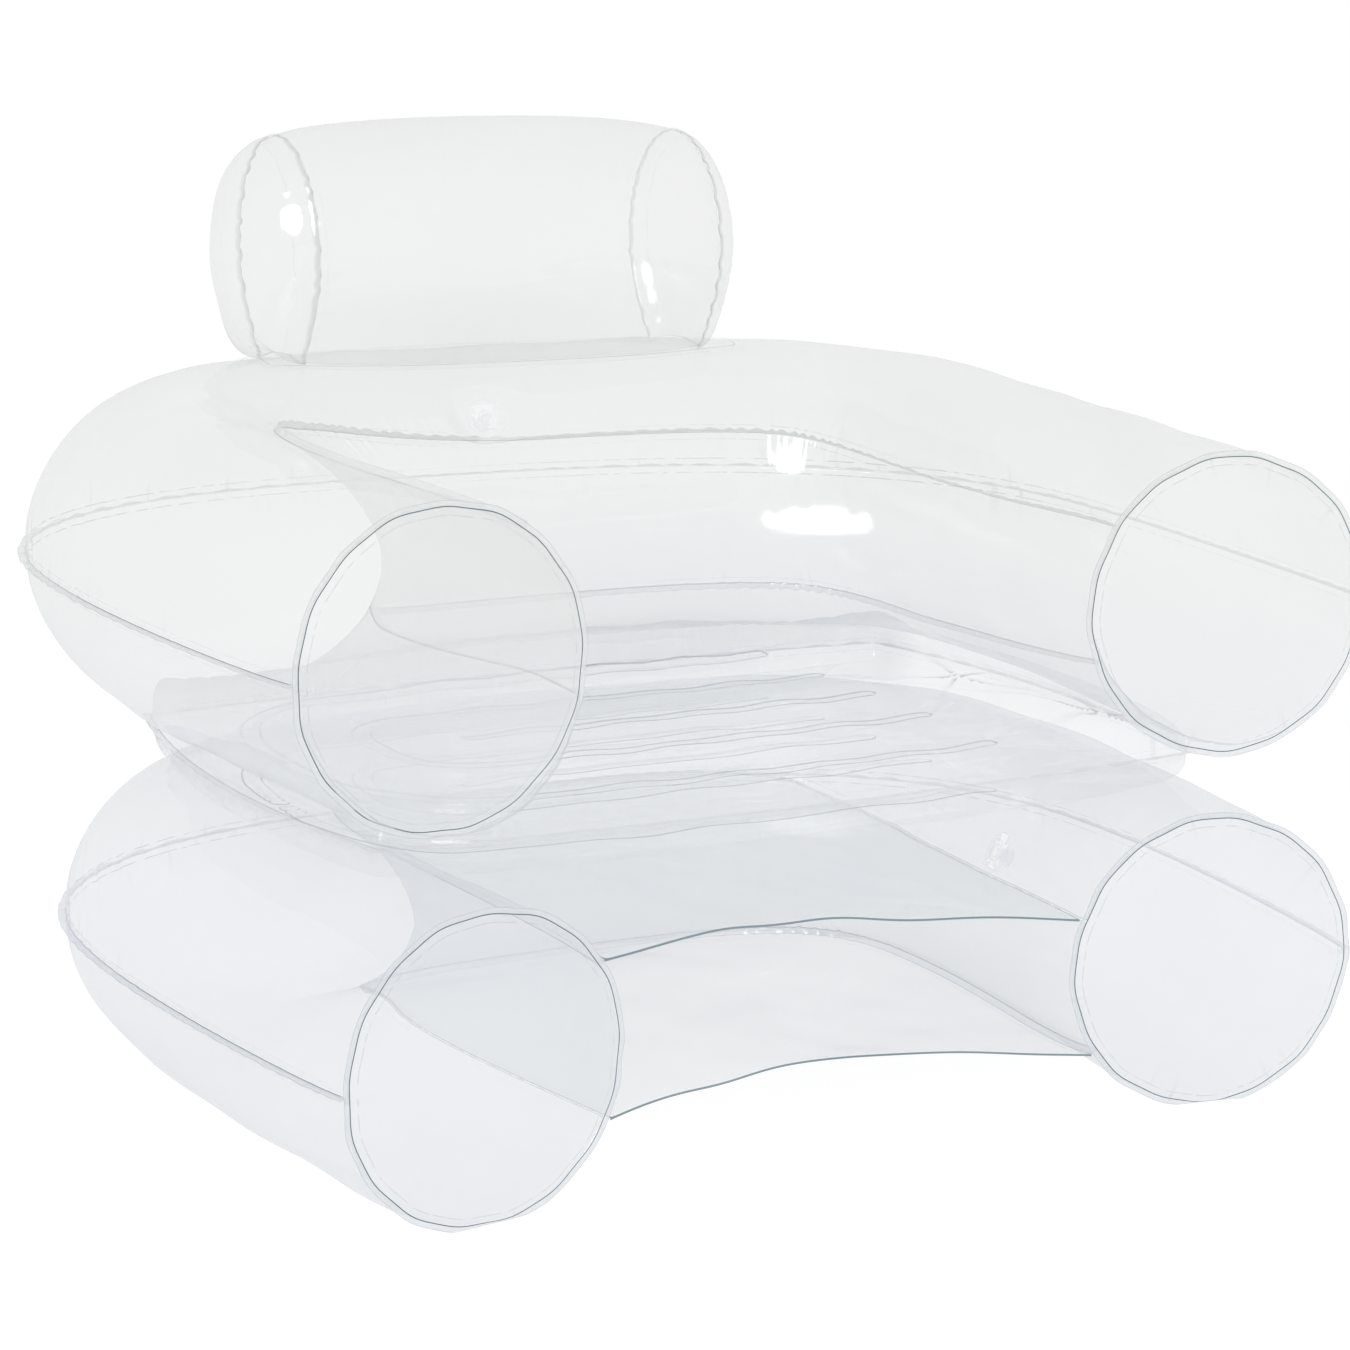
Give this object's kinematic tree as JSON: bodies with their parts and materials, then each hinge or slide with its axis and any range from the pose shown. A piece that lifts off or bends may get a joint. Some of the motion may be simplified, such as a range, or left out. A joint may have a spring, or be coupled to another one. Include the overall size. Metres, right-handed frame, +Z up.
{
  "type": "inflatable armchair",
  "caption": "Inflatable armchair of clear film: stacked U-shaped air tubes, a channelled seat cushion between them, a back pillow and push-in air valves.",
  "frame": {"origin": "on the floor, under the middle of the chair's bounding box", "axes": "+X to the chair's side that is on the right in a front view, +Y towards the backrest, +Z up; the chair faces -Y"},
  "size_m": [1.068, 0.8752, 0.8239],
  "materials": {
    "film": "clear soft vinyl film, smooth and glossy",
    "valve": "clear soft moulded vinyl, slightly milky"
  },
  "bodies": {
    "chair": {"backrest_base_sheet": "film", "backrest_left_gusset": "film", "backrest_right_gusset": "film", "backrest_wrap": "film", "base_floor_web": "film", "base_top_web": "film", "base_valve_plate": "valve", "lower_tube_bottom_sheet": "film", "lower_tube_inner_band": "film", "lower_tube_left_end_cap": "film", "lower_tube_right_end_cap": "film", "lower_tube_top_sheet": "film", "seat_bottom_sheet": "film", "seat_tie_strip_centre": "film", "seat_tie_strip_inner": "film", "seat_tie_strip_outer": "film", "seat_top_sheet": "film", "upper_tube_bottom_sheet": "film", "upper_tube_inner_band": "film", "upper_tube_left_end_cap": "film", "upper_tube_right_end_cap": "film", "upper_tube_top_sheet": "film", "upper_valve_plate": "valve"},
    "upper_valve_neck": {"upper_valve_neck": "valve"},
    "upper_valve_plug": {"upper_valve_plug": "valve", "upper_valve_tether": "valve"},
    "upper_valve_flap": {"upper_valve_flap": "film"},
    "base_valve_neck": {"base_valve_neck": "valve"},
    "base_valve_plug": {"base_valve_plug": "valve", "base_valve_tether": "valve"},
    "base_valve_flap": {"base_valve_flap": "film"}
  },
  "joints": [
    {"name": "upper_valve_pop_out", "type": "slide", "parent": "chair", "child": "upper_valve_neck", "axis": [0.0199, -0.8159, 0.5778], "range_m": [0, 0.0118]},
    {"name": "upper_valve_plug_pull", "type": "slide", "parent": "upper_valve_neck", "child": "upper_valve_plug", "axis": [0.0199, -0.8159, 0.5778], "range_m": [0, 0.012]},
    {"name": "upper_valve_flap_swing", "type": "hinge", "parent": "upper_valve_neck", "child": "upper_valve_flap", "pos_m": [-0.07174, 0.21173, 0.54597], "axis": [0.7695, 0.3815, 0.5122], "range_deg": [0, 50], "stiffness_Nm_per_rad": 0.0005},
    {"name": "base_valve_pop_out", "type": "slide", "parent": "chair", "child": "base_valve_neck", "axis": [-0.8893, 0.1043, 0.4452], "range_m": [0, 0.0118]},
    {"name": "base_valve_plug_pull", "type": "slide", "parent": "base_valve_neck", "child": "base_valve_plug", "axis": [-0.8893, 0.1043, 0.4452], "range_m": [0, 0.012]},
    {"name": "base_valve_flap_swing", "type": "hinge", "parent": "base_valve_neck", "child": "base_valve_flap", "pos_m": [0.26909, -0.19864, 0.18228], "axis": [0.2251, -0.7476, 0.6248], "range_deg": [0, 50], "stiffness_Nm_per_rad": 0.0005}
  ]
}
